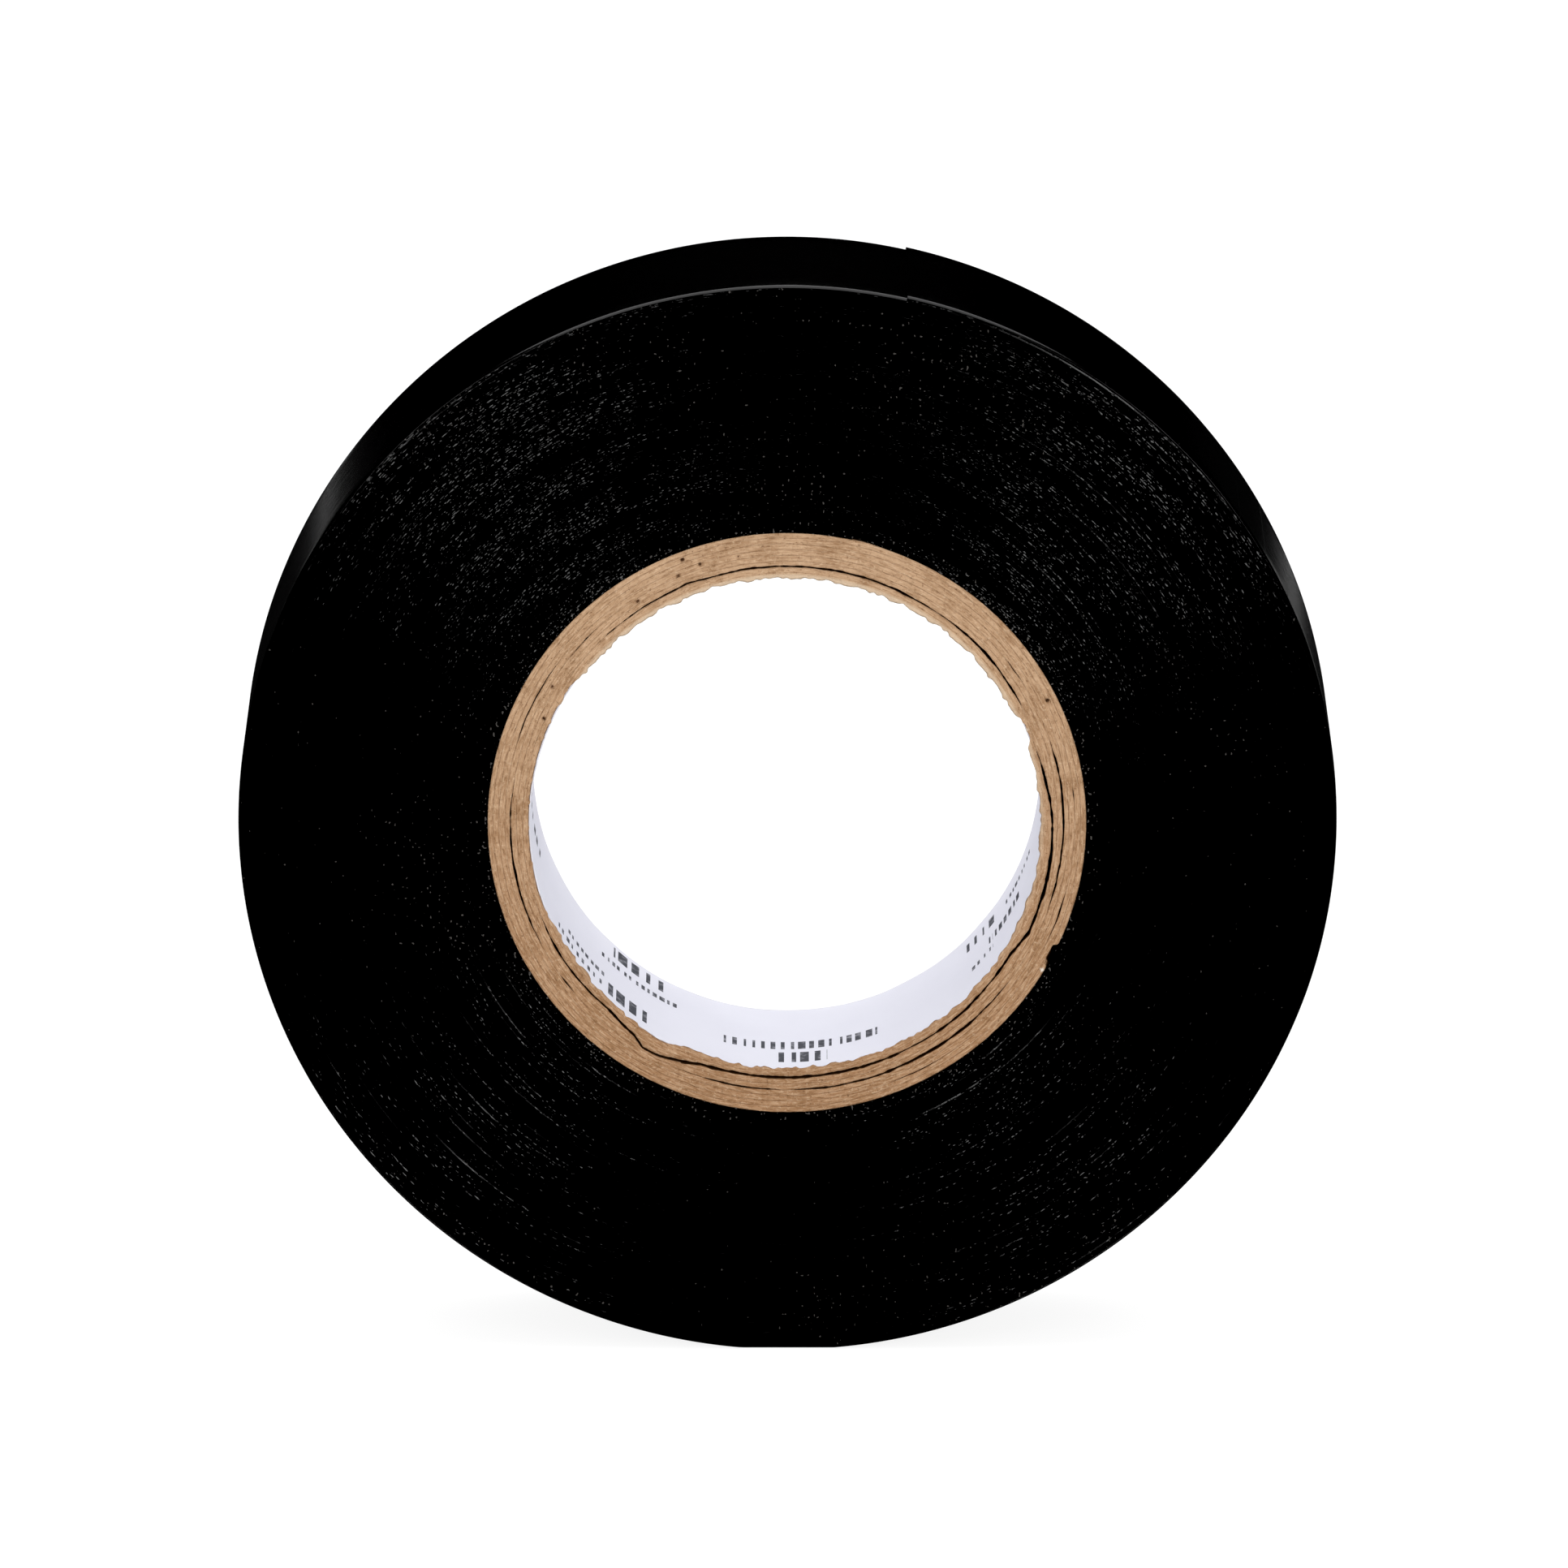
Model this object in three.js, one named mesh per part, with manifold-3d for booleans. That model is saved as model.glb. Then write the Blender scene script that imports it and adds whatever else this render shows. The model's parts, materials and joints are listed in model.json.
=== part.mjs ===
// Roll of black PVC electrical tape on a paperboard core, with a free end that peels off the roll.
// Millimetres, +Z up. The roll stands on its rim with its axis along Y. The origin is on the floor,
// under the middle of the roll.
//
// The tape is one long strip. It is made here in the pieces that move differently: the glued wraps
// of the wound pack, the rest of the last wrap, and the free end, cut into short flat links that
// hinge on each other. Angles go clockwise from the top of the roll, seen from -Y.

import * as THREE from 'three';
import { mergeVertices } from 'three/addons/utils/BufferGeometryUtils.js';
import Module from 'manifold-3d';

// Driving dimensions
const TAPE_WIDTH = 19;
const TAPE_THICKNESS = 0.2;
const ROLL_RADIUS = 45; // to the outside of the free end, the highest point of the spiral
const CORE_RADIUS = 24.5;
const BORE_RADIUS = 21;
const LINER_THICKNESS = 0.14;
const PLY_COUNT = 7;

// Round stretches are facets that start at the free end, so that every piece's facets line up
const FACETS = 144;
const FACET_ANGLE = (2 * Math.PI) / FACETS;
const FREE_END = 5 * FACET_ANGLE;
const LINK_COUNT = 12;
const FACETS_PER_LINK = 2;
const LINK_ANGLE = FACETS_PER_LINK * FACET_ANGLE;
const PEEL_LINE = FREE_END + LINK_COUNT * LINK_ANGLE;
const WRAP_END = FREE_END + 2 * Math.PI;

// The soft roll rests on one long flat facet in place of a line
const FOOT_FACETS = 4;
const FOOT_HALF_ANGLE = (FOOT_FACETS * FACET_ANGLE) / 2;

// Clearances
const LAYER_GAP = 0.03; // between a layer and the one under it
const END_GAP = 0.1; // along the tape, between one stretch and the next
const SAME_ANGLE = 1e-6; // radians
const SAME_POINT = 1e-4;

// Core plies are strips laid in a helix, so each has a butt seam that crosses the core at a slant
const SEAM_TWIST = THREE.MathUtils.degToRad(45); // how far a seam turns from one face to the other
const SEAM_STEPS = 8;
const SEAM_GAP = 0.15;
const OUTER_PLY_SEAM_GAP = 1.5;
const OUTER_PLY_SEAM = THREE.MathUtils.degToRad(117); // on the -Y face
const NEXT_SEAM = THREE.MathUtils.degToRad(137.5); // from one ply's seam to the next one's
const LINER_SEAM = THREE.MathUtils.degToRad(-20);
const CUT_MARGIN = 1; // how far a cutting tool runs past what it cuts

const TAPE_FINISH = { color: 0x0d0c0c, roughness: 0.38, metalness: 0 };
const BOARD_FINISH = { color: 0xbf9872, roughness: 0.9, metalness: 0 };
const LINER_FINISH = { color: 0xe2e3f0, roughness: 0.75, metalness: 0 };

const wasm = await Module();
wasm.setup();

// Outside radius of the last wrap: it falls by one thickness in a turn, going clockwise
function wrapRadius(angle) {
  return ROLL_RADIUS - (TAPE_THICKNESS * (angle - FREE_END)) / (2 * Math.PI);
}

function polar(radius, angle) {
  return new THREE.Vector2(radius * Math.sin(angle), radius * Math.cos(angle));
}

function cornerAngle(index) {
  return FREE_END + index * FACET_ANGLE;
}

// The point at an angle on the faceted spiral that lies a given depth under the last wrap's outside
function spiralPoint(angle, depth) {
  const place = (angle - FREE_END) / FACET_ANGLE;
  const corner = Math.floor(place);
  const [before, after] = [corner, corner + 1].map((index) => {
    return polar(wrapRadius(cornerAngle(index)) - depth, cornerAngle(index));
  });
  return before.lerp(after, place - corner);
}

function isUnderTheRoll(angle) {
  return Math.abs(angle - Math.PI) < FOOT_HALF_ANGLE - SAME_ANGLE;
}

// The faceted spiral between two angles, with a corner at every facet's end
function spiralPoints(start, end, depth) {
  const corners = Array.from({ length: FACETS }, (_, index) => cornerAngle(index));
  const between = corners.filter((angle) => {
    const isInside = angle > start + SAME_ANGLE && angle < end - SAME_ANGLE;
    return isInside && !isUnderTheRoll(angle);
  });
  return [start, ...between, end].map((angle) => spiralPoint(angle, depth));
}

function circlePoints(radius) {
  return Array.from({ length: FACETS }, (_, index) => polar(radius, cornerAngle(index)));
}

// A hole's outline runs the other way round from the outline that it is in
function holePath(radius) {
  return new THREE.Path(circlePoints(radius).reverse());
}

function acrossTheWidth(shape) {
  return new THREE.ExtrudeGeometry(shape, { depth: TAPE_WIDTH, bevelEnabled: false });
}

function ringGeometry(innerRadius, outerRadius) {
  const shape = new THREE.Shape(circlePoints(outerRadius));
  shape.holes.push(holePath(innerRadius));
  return acrossTheWidth(shape);
}

// A stretch of tape lying on the pack, clear of its neighbours by half a gap at each end
function stripGeometry(start, end) {
  const halfGap = END_GAP / 2 / ROLL_RADIUS;
  const outside = spiralPoints(start + halfGap, end - halfGap, 0);
  const inside = spiralPoints(start + halfGap, end - halfGap, TAPE_THICKNESS);
  return acrossTheWidth(new THREE.Shape([...outside, ...inside.reverse()]));
}

// The wraps under the last one: a spiral outside, with the step where the last wrap goes under
// the free end, round a plain hole for the core
function packGeometry() {
  const depth = TAPE_THICKNESS + LAYER_GAP;
  const shape = new THREE.Shape(spiralPoints(FREE_END, WRAP_END, depth));
  shape.holes.push(holePath(CORE_RADIUS + LAYER_GAP));
  return acrossTheWidth(shape);
}

function toSolid(geometry) {
  const bare = geometry.clone();
  bare.deleteAttribute('normal');
  bare.deleteAttribute('uv');
  const merged = mergeVertices(bare, SAME_POINT);
  const mesh = new wasm.Mesh({
    numProp: 3,
    vertProperties: merged.attributes.position.array,
    triVerts: new Uint32Array(merged.index.array),
  });
  return new wasm.Manifold(mesh);
}

function toGeometry(solid) {
  const mesh = solid.getMesh();
  const geometry = new THREE.BufferGeometry();
  geometry.setAttribute('position', new THREE.BufferAttribute(mesh.vertProperties, 3));
  geometry.setIndex(new THREE.BufferAttribute(mesh.triVerts, 1));
  const faceted = geometry.toNonIndexed();
  faceted.computeVertexNormals();
  return faceted;
}

// A thin wall standing on the seam's line, twisted about the roll's axis
function seamCutter(innerRadius, outerRadius, gap, angle) {
  const height = outerRadius - innerRadius + 2 * CUT_MARGIN;
  const length = TAPE_WIDTH + 2 * CUT_MARGIN;
  const cutter = new THREE.BoxGeometry(gap, height, length, 1, 1, SEAM_STEPS);
  cutter.translate(0, (innerRadius + outerRadius) / 2, TAPE_WIDTH / 2);
  const position = cutter.attributes.position;
  const point = new THREE.Vector3();
  const rollAxis = new THREE.Vector3(0, 0, 1);
  for (let index = 0; index < position.count; index += 1) {
    point.fromBufferAttribute(position, index);
    const fromFace = 1 - point.z / TAPE_WIDTH;
    point.applyAxisAngle(rollAxis, -(angle + SEAM_TWIST * fromFace));
    position.setXYZ(index, point.x, point.y, point.z);
  }
  return cutter;
}

function seamedRing(innerRadius, outerRadius, gap, angle) {
  const ring = toSolid(ringGeometry(innerRadius, outerRadius));
  const cutter = toSolid(seamCutter(innerRadius, outerRadius, gap, angle));
  return toGeometry(ring.subtract(cutter));
}

function namedMesh(name, geometry, finish) {
  const mesh = new THREE.Mesh(geometry, new THREE.MeshStandardMaterial(finish));
  mesh.name = name;
  return mesh;
}

function linerMesh() {
  const outerRadius = BORE_RADIUS + LINER_THICKNESS;
  const geometry = seamedRing(BORE_RADIUS, outerRadius, SEAM_GAP, LINER_SEAM);
  return namedMesh('core_liner', geometry, LINER_FINISH);
}

function plyMeshes() {
  const firstRadius = BORE_RADIUS + LINER_THICKNESS + LAYER_GAP;
  const pitch = (CORE_RADIUS + LAYER_GAP - firstRadius) / PLY_COUNT;
  return Array.from({ length: PLY_COUNT }, (_, index) => {
    const innerRadius = firstRadius + index * pitch;
    const outerRadius = innerRadius + pitch - LAYER_GAP;
    const plyFromOutside = PLY_COUNT - 1 - index;
    const gap = plyFromOutside === 0 ? OUTER_PLY_SEAM_GAP : SEAM_GAP;
    const seam = OUTER_PLY_SEAM + plyFromOutside * NEXT_SEAM;
    const geometry = seamedRing(innerRadius, outerRadius, gap, seam);
    return namedMesh(`core_ply_${index + 1}`, geometry, BOARD_FINISH);
  });
}

// Links are numbered from the peel line to the free end
function linkMeshes() {
  return Array.from({ length: LINK_COUNT }, (_, index) => {
    const end = PEEL_LINE - index * LINK_ANGLE;
    const geometry = stripGeometry(end - LINK_ANGLE, end);
    const isLast = index === LINK_COUNT - 1;
    return namedMesh(isLast ? 'tape_free_end' : `tape_flap_${index + 1}`, geometry, TAPE_FINISH);
  });
}

const roll = new THREE.Group();
roll.add(linerMesh(), ...plyMeshes());
roll.add(namedMesh('tape_wound_pack', packGeometry(), TAPE_FINISH));
roll.add(namedMesh('tape_outer_wrap', stripGeometry(PEEL_LINE, WRAP_END), TAPE_FINISH));
roll.add(...linkMeshes());

// Stand the roll on its foot
const lowest = Math.min(...spiralPoints(PEEL_LINE, WRAP_END, 0).map((point) => point.y));
roll.rotation.x = Math.PI / 2;
roll.position.set(0, TAPE_WIDTH / 2, -lowest);

const tapeRoll = new THREE.Group();
tapeRoll.add(roll);

export default tapeRoll;
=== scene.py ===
"""Looks of a roll of black PVC electrical tape on a paperboard core.

The roll stands on its rim with its axis along Y. Angles are in degrees clockwise from the top of
the roll, seen from -Y. Lengths are in millimetres until a mesh is made, and in metres in materials
and lights. Colours are linear.
"""

import json
import math

import bpy
import numpy as np
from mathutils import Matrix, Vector


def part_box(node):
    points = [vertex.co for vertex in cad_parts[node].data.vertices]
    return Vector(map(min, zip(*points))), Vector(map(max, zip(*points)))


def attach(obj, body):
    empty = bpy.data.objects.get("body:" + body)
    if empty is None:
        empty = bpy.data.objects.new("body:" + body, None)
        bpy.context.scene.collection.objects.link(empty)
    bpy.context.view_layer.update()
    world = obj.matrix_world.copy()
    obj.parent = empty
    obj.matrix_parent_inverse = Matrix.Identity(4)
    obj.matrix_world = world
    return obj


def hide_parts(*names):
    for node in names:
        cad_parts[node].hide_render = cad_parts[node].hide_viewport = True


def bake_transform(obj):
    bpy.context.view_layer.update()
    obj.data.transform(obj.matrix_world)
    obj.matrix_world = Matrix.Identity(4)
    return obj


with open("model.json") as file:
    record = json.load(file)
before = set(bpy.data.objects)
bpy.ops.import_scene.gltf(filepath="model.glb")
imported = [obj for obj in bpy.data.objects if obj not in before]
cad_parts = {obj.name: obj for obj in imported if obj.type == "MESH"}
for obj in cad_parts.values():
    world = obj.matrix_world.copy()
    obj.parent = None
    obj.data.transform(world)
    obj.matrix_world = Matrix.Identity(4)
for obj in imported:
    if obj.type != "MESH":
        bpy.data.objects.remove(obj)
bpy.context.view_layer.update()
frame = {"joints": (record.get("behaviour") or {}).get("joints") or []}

MM = 0.001

# Tape
THICKNESS = 0.2
SHOULDER = 0.5  # radius of the roll's rounded corners
SHOULDER_STEPS = 8
EDGE_SETBACK = 0.02  # of the wraps' edges, from the roll's even face
EDGE_WANDER = 0.012  # how far the slit edge wanders along the strip
EDGE_WANDER_LENGTH = 9.0
WRAP_STEP = 0.012  # how far one wrap's edge stands out from the next one's
VALLEY_DEPTH = 0.012  # of the groove between two wraps
RIPPLE = 0.012  # of the tape's outside
TOP_SLACK = 0.24  # how far the slack outer wraps rise at the top
FOOT_DEPTH = 1.2  # how deep in the roll the wraps are still pressed flat by the floor
PACK_COLUMNS = 216  # mesh columns to a turn
INNER_END_REACH = 0.02  # share of a turn in which the innermost wrap comes down to the core
CORE_OVERLAP = 0.03  # of the innermost wrap over the core's fuzzy outside
STRIP_STEP = 0.5  # degrees from one mesh column of a strip to the next
END_STEP = 0.02
FLAT_MARGIN = 2.0  # from a strip's edge to the first mesh row on its flat side

# Core
PLIES = 7
THINNEST_PLY = 0.1
CORE_COLUMNS = 900
FACE_SETBACK = 0.08  # of the core's cut face, from the roll's even face
BOARD_FUZZ = 0.035
BOARD_SWELL = 0.03
PLY_WANDER = 0.035  # how far the joint between two plies wanders
PLY_WOBBLE = 0.025  # the same, over shorter stretches
WALL_FUZZ = 0.03  # of the core's outside
LIP_LENGTH = 0.5  # how far in the burred lip goes

# Liner
LINER_THICKNESS = 0.14
LINER_SETBACK = 0.35  # of the torn front edge
LINER_REAR_SETBACK = 0.05
LINER_DENTS = 0.03

# Cracks between glued plies: ply number under the crack, then (first angle, last angle, width)
CRACKS = {
    1: [(-45, 64, 0.12), (72, 250, 0.15)],
    3: [(180, 204, 0.09), (230, 236, 0.06), (242, 281, 0.09), (307, 318, 0.08), (50, 60, 0.06),
        (71, 110, 0.1), (126, 180, 0.13)],
    4: [(286, 307, 0.07)],
    5: [(82, 86, 0.05), (103, 118, 0.08), (145, 160, 0.05)],
}
CRACK_GAIN = 1.3
CRACK_TAPER = 6.0  # degrees, at each end
# How deep a crack stays fully open, and where it has closed, as shares of the core's width
CRACK_DEPTHS = (0.05, 0.2)
# Where the first crack runs: (angle, distance outward from the ply's even radius)
FIRST_CRACK_PATH = [
    (-180, -0.1), (-161, 0), (-152, 0.7), (-148, 0.75), (-145, 0.25), (-137, -0.15), (-125, 0),
    (-60, 0), (-26, 0.02), (-22, 0.16), (-18, 0.02), (62, -0.05), (72, -0.36), (90, 0.06),
    (115, 0.22), (121, -0.2), (150, -0.08), (180, -0.1),
]
# The burred inner lip of the front face: (angle, radius)
LIP_PATH = [
    (-180, 20.72), (-155, 20.75), (-150, 21.35), (-144, 20.85), (-118, 20.75), (-110, 21.2),
    (-57, 21.2), (-51, 20.7), (63, 20.65), (66, 21.05), (70, 21.05), (73, 20.7), (180, 20.72),
]
# Small holes in both faces: (angle, radius, size, depth)
PITS = [
    (-21, 23.75, 0.17, 0.5), (-18, 22.9, 0.16, 0.4), (64, 23.67, 0.17, 0.5),
    (-23, 22.65, 0.16, 0.35), (-33, 22.3, 0.16, 0.4), (-59, 22.35, 0.16, 0.4),
    (-66, 21.75, 0.16, 0.4), (-10, 22.8, 0.12, 0.3),
]
TORN_LIP = (21.15, 20.85)  # radius where plain board ends, and where the lip is all torn
PIT_SHADE_DEPTHS = (0.2, 0.4)  # under the roll's even face: where the painted shade in pits starts, and where it is full
PIT_SHADE_RADII = (21.2, 21.5)  # the bore's wall gets no painted shade, so this is where the rule begins
# Torn pale paper: (angle, radius, size)
PALE_SPOTS = [(68, 20.95, 0.5), (120.6, 24.3, 0.35)]
OUTER_SEAM = (117.2, 2.3, 0.42)  # angle on the front face, half of its width in degrees, depth
SEAM_TWIST = 45  # degrees from the front face to the back one

# Scuffed wraps that hold dust: (radius, half of the width, middle angle, half of the length)
SCUFFS = [(42.2, 0.4, 9, 24), (43.4, 0.3, 34, 10), (43.6, 0.6, -150, 30), (43.2, 0.7, 148, 36)]

# Generic print: angle from the foot towards +X, y, length in degrees, height, and how many bars
PRINT_MARKS = [
    (3.8, -1.6, 37, 2.2, 17), (3.6, -5.2, 11, 3.0, 4),
    (-36.2, 7.0, 14, 3.0, 4), (-36.6, 3.2, 22, 1.2, 13), (-39, -5.4, 13, 3.4, 4),
    (-55, -5.6, 18, 1.3, 9), (-52, -2.6, 14, 1.1, 8),
    (49.6, 6.0, 11, 2.4, 4), (59, 1.0, 14, 1.9, 7), (50.5, -1.8, 8, 1.1, 4), (66, 5.4, 14, 1.1, 9),
    (92, -3.0, 24, 2.0, 9), (112, 3.0, 12, 3.2, 4), (146, -1.0, 34, 2.0, 12),
    (-84, 1.0, 20, 2.0, 7), (-112, -4.0, 12, 3.2, 4), (-146, 2.5, 34, 2.0, 12),
]

# Texture scales that follow the wraps: values to a metre outward, to a radian onward round the roll,
# and to a metre across it
BURR_SCALES = (6500.0, 60.0, 900.0)
RING_SCALES = (700.0, 3.0, 10.0)
SPECK_SCALES = (5200.0, 130.0, 900.0)
DRAG_SCALES = (300.0, 18.0, 900.0)
FIBRE_SCALES = (9000.0, 24.0, 3000.0)
JOINT_SCALES = (300.0, 6.0, 0.0)

# Bump heights, in metres
BURR_HEIGHT = 0.000062
BURR_LEAN = 900.0  # burr heights to a metre outward
DRAG_HEIGHT = 0.000025
GRAIN_HEIGHT = 0.000005
FIBRE_HEIGHT = 0.00007
FUZZ_HEIGHT = 0.00009
GLUE_HEIGHT = 0.00005
PAPER_HEIGHT = 0.00002

# Dust shows where grain noise is over a level, which clumps and scuffs bring nearer
DUST_LEVELS = (0.83, 0.88)
DUST_HELP = 0.13
DUST_BESIDE_CORE = 2  # how far out from the core the dust lies thick

# Colours
TAPE_BLACK = (0.0006, 0.00055, 0.00055, 1)
TAPE_DRAG_MARK = (0.0012, 0.0011, 0.0011, 1)
TAPE_DUST = (0.06, 0.056, 0.052, 1)
# Kraft at the foot and at the top: painted shade below, painted light above
KRAFT_PAINTED_SHADE_AT_FOOT = (0.37, 0.205, 0.105, 1)
KRAFT_PAINTED_LIGHT_AT_TOP = (0.49, 0.31, 0.183, 1)
KRAFT_STAIN = (0.24, 0.12, 0.05, 1)
KRAFT_PALE_FIBRE = (0.66, 0.46, 0.3, 1)
KRAFT_DARK_FIBRE = (0.16, 0.075, 0.03, 1)
KRAFT_FLECK = (0.13, 0.06, 0.025, 1)
KRAFT_FUZZ = (0.72, 0.53, 0.36, 1)
KRAFT_TORN = (0.7, 0.56, 0.41, 1)
# Painted shade for the inside of pits and notches
KRAFT_PAINTED_PIT_SHADE = (0.1, 0.045, 0.02, 1)
TORN_PAPER = (0.86, 0.8, 0.7, 1)
# Painted shade down the cracks, stained with dry glue
GLUE_AND_SHADE_DARK = (0.04, 0.02, 0.01, 1)
GLUE_AND_SHADE_PALE = (0.11, 0.055, 0.028, 1)
LINER_SHADE = (0.73, 0.73, 0.8, 1)
LINER_WHITE = (0.79, 0.79, 0.855, 1)
PRINT_INK = (0.03, 0.033, 0.045, 1)
WHITE = (1, 1, 1, 1)

# Camera
CAMERA_TILT = math.radians(14.55)
CAMERA_DISTANCE = 1300.5
CAMERA_AIM = (-0.24, 3.278)  # sideways and up in the picture, from the middle of the front face
CAMERA_LENS = 365.3

# Light
WORLD_GLOW = {"Is Camera Ray": 1.0, "Is Diffuse Ray": 0.8, "Is Glossy Ray": 0.002}
FLOOR_SIZE = 6.0  # metres from the middle to a side
FLOOR_GLOW = 0.88
FLOOR_SHADOW_CATCH = (0.2, 0.2, 0.2, 1)
FLOOR_IN_REFLECTIONS = (0.004, 0.004, 0.004, 1)
BAND_GLOW = 0.22
BAND_SLANT = 0.9
FLOOR_BAND = [(0.37, 0.0), (0.4, 1.0), (0.42, 1.0), (0.45, 0.0)]  # (metres behind, glow)
# name, direction from the roll, distance, (width, height), watts
SOFTBOXES = [
    ("overhead", (0, 0.35, 1), 1.06, (1.3, 1.7), 8),
    ("front_left", (-0.48, -0.8, 0.36), 1.2, (0.5, 0.5), 2.6),
    ("front_right", (0.57, -0.8, 0.33), 1.2, (0.5, 0.5), 3.0),
]
BLACK_LEVEL = 0.002

# ---------------------------------------------------------------------------------------------
# The CAD frame's dimensions
# ---------------------------------------------------------------------------------------------


def node_box(name):
    low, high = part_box(name)
    return low / MM, high / MM


liner_low, liner_high = node_box("core_liner")
core_low, core_high = node_box(f"core_ply_{PLIES}")
HALF_WIDTH = liner_high.y
AXIS = (liner_low.z + liner_high.z) / 2
LINER_RADIUS = (liner_high.z - liner_low.z) / 2
CORE_RADIUS = (core_high.z - core_low.z) / 2
PLY_PITCH = (CORE_RADIUS - LINER_RADIUS) / PLIES

hinges = [Vector(joint["pos_m"]) / MM for joint in frame["joints"]]
hinge_angles = [math.degrees(math.atan2(p.x, p.z - AXIS)) for p in hinges]
PEEL_LINE = hinge_angles[0]
LINK_ANGLE = hinge_angles[0] - hinge_angles[1]
FREE_END = hinge_angles[-1] - LINK_ANGLE
WRAP_END = FREE_END + 360
PEEL_LINE_RADIUS = math.hypot(hinges[0].x, hinges[0].z - AXIS)
FULL_RADIUS = PEEL_LINE_RADIUS + THICKNESS * (PEEL_LINE - FREE_END) / 360
WRAPS = math.floor((FULL_RADIUS - CORE_RADIUS) / THICKNESS)

# ---------------------------------------------------------------------------------------------
# Numbers
# ---------------------------------------------------------------------------------------------


def ease(share):
    return share * share * (3 - 2 * share)


def smooth_step(low, high, x):
    return ease(np.clip((np.asarray(x, float) - low) / (high - low), 0, 1))


def wave(x, seed, period=4096):
    """Smooth noise from -1 to 1 with one random value per unit of x, repeating after a period."""
    values = np.random.default_rng(seed).uniform(-1, 1, period)
    x = np.asarray(x, float)
    cell = np.floor(x).astype(int)
    share = ease(x - cell)
    return values[cell % period] * (1 - share) + values[(cell + 1) % period] * share


def round_wave(angle, count, seed):
    """Smooth noise round the roll, with count random values to a turn."""
    return wave(np.asarray(angle) / 360 * count, seed, count)


def half_turn_range(angle):
    """The same angle, from -180 to 180."""
    return (np.asarray(angle, float) + 180) % 360 - 180


def along_path(path, angle):
    """A value read off a list of (angle, value) round the roll."""
    return np.interp(half_turn_range(angle), [a for a, _ in path], [v for _, v in path])


def wrap_radius(angle):
    """Outside radius of the tape: it falls by one thickness in each turn after the free end."""
    return FULL_RADIUS - THICKNESS * (np.asarray(angle, float) - FREE_END) / 360


def settle(radius, angle, depth):
    """The soft roll's radius with a little slack over the top and a foot pressed flat. depth is how
    far under the outside of the tape a point lies."""
    share_out = np.clip((radius - CORE_RADIUS) / (FULL_RADIUS - CORE_RADIUS), 0, 1)
    upright = np.cos(np.radians(angle))
    slack = TOP_SLACK * share_out * np.maximum(upright, 0) ** 2
    sag = wrap_radius(FREE_END + 180) - AXIS
    lowest = depth - sag * np.minimum(depth / FOOT_DEPTH, 1)
    floor_radius = (AXIS - lowest) / np.maximum(-upright, 0.5)
    return np.where(upright < -0.9, np.minimum(radius, floor_radius), radius + slack)


def ring_points(radius, angle, y):
    """Points in millimetres from radius, angle and y, which are numbers or arrays."""
    radius, turn, y = np.broadcast_arrays(radius, np.radians(angle), y)
    return np.stack([radius * np.sin(turn), y, AXIS + radius * np.cos(turn)], axis=-1)


# ---------------------------------------------------------------------------------------------
# Meshes
# ---------------------------------------------------------------------------------------------


def make_piece(name, points, faces, material):
    mesh = bpy.data.meshes.new(name)
    mesh.from_pydata((points.reshape(-1, 3) * MM).tolist(), [], faces)
    mesh.validate()
    mesh.polygons.foreach_set("use_smooth", [True] * len(mesh.polygons))
    mesh.materials.append(material)
    piece = bpy.data.objects.new(name, mesh)
    bpy.context.scene.collection.objects.link(piece)
    return piece


def add_material(mesh, material, is_second):
    """Gives a mesh a second material, on the faces where is_second is 1."""
    mesh.materials.append(material)
    mesh.polygons.foreach_set("material_index", is_second)


def flatten_ends(mesh):
    """Flat shading for a strip's two cut ends, which are the last two faces."""
    for polygon in mesh.polygons[-2:]:
        polygon.use_smooth = False


def grid_faces(rows, columns, close_columns=False):
    """Quads over a grid of points that was flattened row by row. The last row joins the first."""
    row, column = np.meshgrid(
        np.arange(rows),
        np.arange(columns if close_columns else columns - 1),
        indexing="ij",
    )
    next_row = (row + 1) % rows
    next_column = (column + 1) % columns
    corners = [
        row * columns + column,
        row * columns + next_column,
        next_row * columns + next_column,
        next_row * columns + column,
    ]
    return np.stack(corners, axis=-1).reshape(-1, 4).tolist()


# ---------------------------------------------------------------------------------------------
# Shader nodes
# ---------------------------------------------------------------------------------------------


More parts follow.
